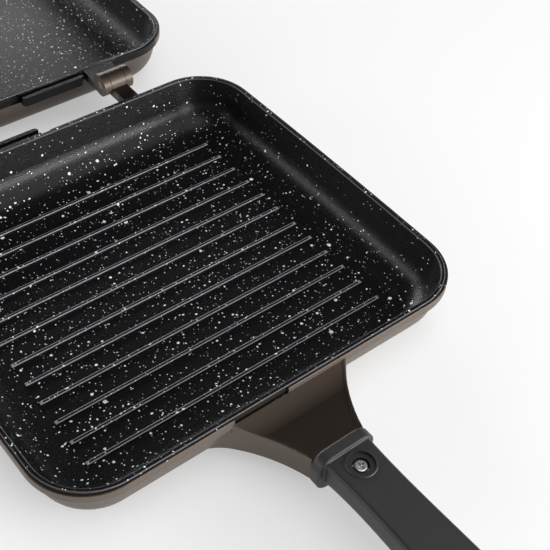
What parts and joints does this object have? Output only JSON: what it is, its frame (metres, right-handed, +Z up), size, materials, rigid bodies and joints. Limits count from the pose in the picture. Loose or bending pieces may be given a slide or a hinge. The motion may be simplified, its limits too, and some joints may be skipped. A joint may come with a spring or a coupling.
{
  "type": "double sided flip pan",
  "caption": "Double sided flip pan: ribbed and smooth square half pans hinged edge to edge, each with a long handle, shown opened flat.",
  "frame": {"origin": "on the surface the opened pan rests on, under the middle of the hinge axis", "axes": "+X along the hinge axis, +Y from the ribbed near half towards the smooth far half, +Z up"},
  "size_m": [0.2584, 0.873, 0.0413],
  "materials": {
    "coated_casting": "satin",
    "handle_plastic": "matte",
    "bright_steel": "satin"
  },
  "bodies": {
    "near_half": {"near_pan": "coated_casting", "near_handle": "handle_plastic", "near_handle_screw": "bright_steel", "near_handle_washer": "bright_steel", "near_magnet": "bright_steel", "left_hinge_pin": "bright_steel"},
    "far_half": {"far_pan": "coated_casting", "far_handle": "handle_plastic", "far_handle_screw": "bright_steel", "far_handle_washer": "bright_steel", "far_magnet": "bright_steel", "right_hinge_pin": "bright_steel"}
  },
  "joints": [
    {"name": "fold", "type": "hinge", "parent": "near_half", "child": "far_half", "pos_m": [0, 0, 0.03395], "axis": [1, 0, 0], "range_deg": [0, 180]}
  ]
}
